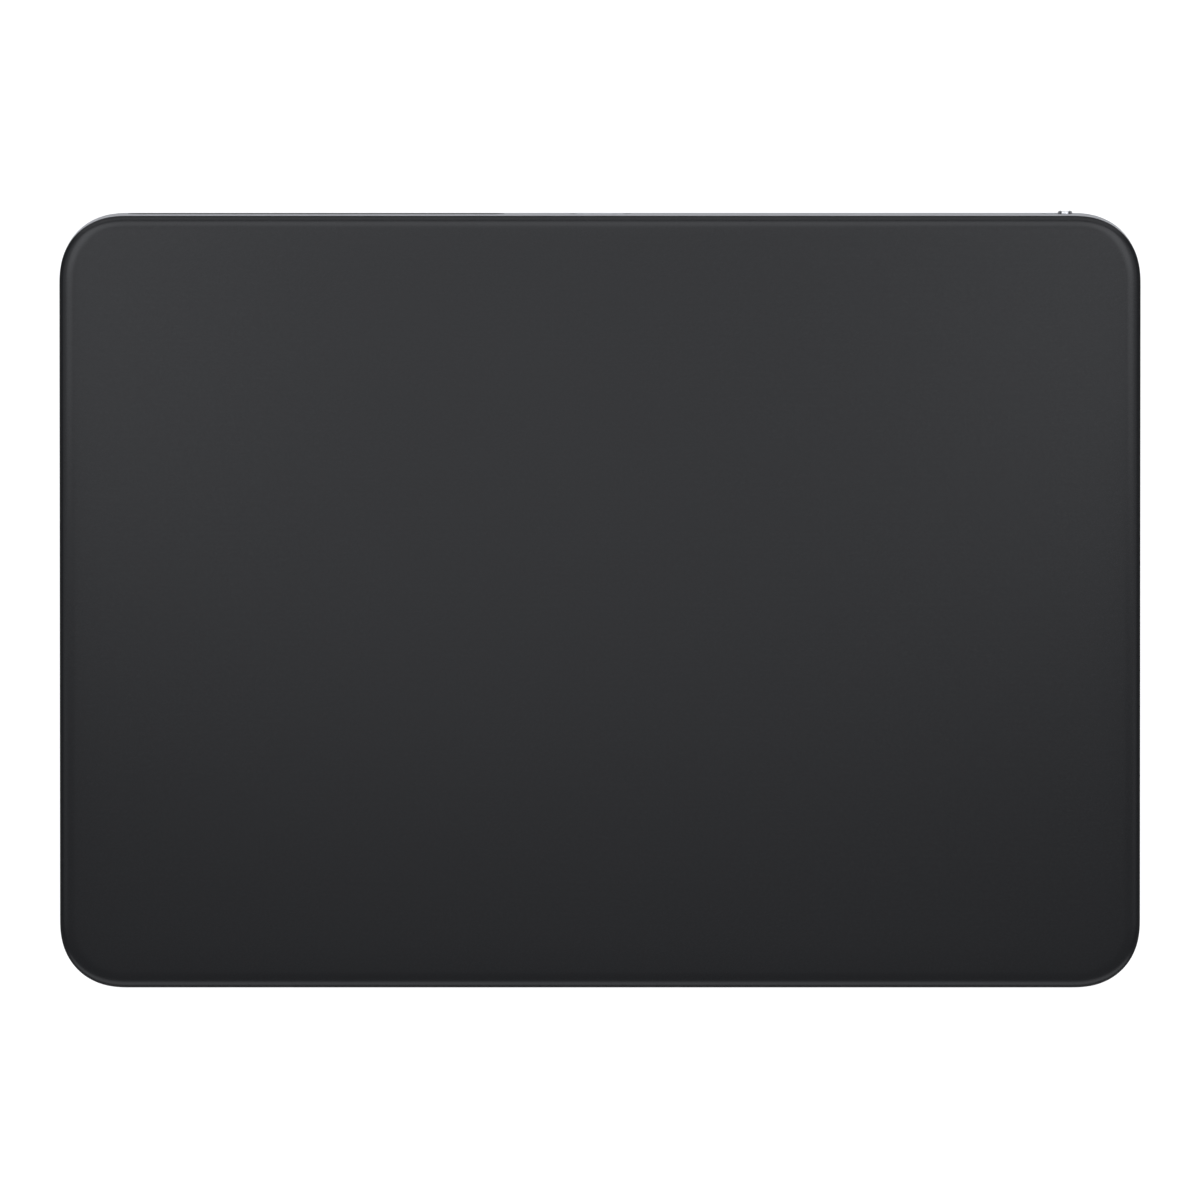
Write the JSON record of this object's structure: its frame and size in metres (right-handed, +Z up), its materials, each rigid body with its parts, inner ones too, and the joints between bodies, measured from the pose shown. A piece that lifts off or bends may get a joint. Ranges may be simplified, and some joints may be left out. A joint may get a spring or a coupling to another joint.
{
  "type": "trackpad",
  "caption": "Thin wedge-shaped wireless trackpad with a black glass touch surface that presses down, an aluminium tray, a back-edge port and a slide switch.",
  "frame": {"origin": "on the table, under the middle of the plan outline", "axes": "+X to the user's right along the long side, +Y to the back edge with the port and the switch, +Z up from the table"},
  "size_m": [0.16, 0.1151, 0.0108],
  "materials": {
    "anodised_aluminium": "bead-blasted, clear anodised",
    "satin_aluminium": "satin",
    "foot_rubber": "matt",
    "window_plastic": "matt, moulded",
    "black_glass": "acid-etched, printed black behind",
    "clear_adhesive": "pressure-sensitive film",
    "circuit_board": "solder mask",
    "chip_plastic": "moulded epoxy",
    "capacitor_ceramic": "ceramic with tinned ends",
    "stainless_steel": "rolled sheet",
    "spring_steel": "rolled strip",
    "screw_steel": "nickel plated",
    "tungsten_alloy": "sintered",
    "magnet_nickel": "nickel plated",
    "copper_wire": "enamelled winding",
    "gold_plate": "gold plated",
    "tab_nickel": "nickel strip",
    "black_plastic": "moulded",
    "white_plastic": "moulded",
    "lead_insulation": "extruded",
    "pouch_foil": "laminated foil",
    "flex_film": "polyimide film",
    "green_strip": "printed film"
  },
  "bodies": {
    "enclosure": {"antenna_board": "circuit_board", "antenna_window": "window_plastic", "battery_cell_left": "pouch_foil", "battery_cell_right": "pouch_foil", "battery_leads": "lead_insulation", "battery_plug": "white_plastic", "battery_socket": "white_plastic", "battery_tabs": "tab_nickel", "battery_tapes": "clear_adhesive", "board_screws": "screw_steel", "capacitors": "capacitor_ceramic", "coax_lead": "lead_insulation", "coax_plugs": "gold_plate", "control_chip": "chip_plastic", "driver_chip": "chip_plastic", "enclosure_tray": "anodised_aluminium", "flexure_back_left": "spring_steel", "flexure_back_right": "spring_steel", "flexure_front_left": "spring_steel", "flexure_front_right": "spring_steel", "flexure_nuts": "screw_steel", "foot_back_left": "foot_rubber", "foot_back_right": "foot_rubber", "foot_front_left": "foot_rubber", "foot_front_right": "foot_rubber", "guard_board": "circuit_board", "guard_chips": "chip_plastic", "main_board": "circuit_board", "port_contacts": "gold_plate", "port_shell": "stainless_steel", "port_tongue": "black_plastic", "power_chip": "chip_plastic", "radio_chip": "chip_plastic", "radio_shield": "stainless_steel", "ribbon": "flex_film", "ribbon_socket": "black_plastic", "strain_gauges": "flex_film", "switch_body": "black_plastic", "switch_flex": "flex_film", "switch_terminals": "gold_plate"},
    "touch_surface": {"glass": "black_glass", "glass_adhesive": "clear_adhesive", "sensor_board": "circuit_board", "touch_chips": "chip_plastic", "stiffener": "stainless_steel", "engine_base": "stainless_steel", "engine_coil": "copper_wire", "engine_can": "stainless_steel", "engine_screws": "screw_steel", "engine_flex": "flex_film", "engine_spring_left": "spring_steel", "engine_spring_right": "spring_steel"},
    "haptic_mass": {"engine_weight": "tungsten_alloy", "engine_magnets": "magnet_nickel"},
    "power_slider": {"switch_knob": "satin_aluminium", "switch_indicator": "green_strip", "switch_wiper": "gold_plate"}
  },
  "joints": [
    {"name": "surface_press", "type": "slide", "parent": "enclosure", "child": "touch_surface", "axis": [0, 0.0523, -0.9986], "range_m": [0, 0.0002], "stiffness_N_per_m": 25000, "springref_m": -0.0001, "deforming": ["flexure_back_left", "flexure_back_right", "flexure_front_left", "flexure_front_right", "ribbon"]},
    {"name": "haptic_weight_slide", "type": "slide", "parent": "touch_surface", "child": "haptic_mass", "axis": [1, 0, 0], "range_m": [-0.0005, 0.0005], "stiffness_N_per_m": 3000, "deforming": ["engine_spring_left", "engine_spring_right"]},
    {"name": "power_switch_slide", "type": "slide", "parent": "enclosure", "child": "power_slider", "axis": [-1, 0, 0], "range_m": [0, 0.0024]}
  ]
}
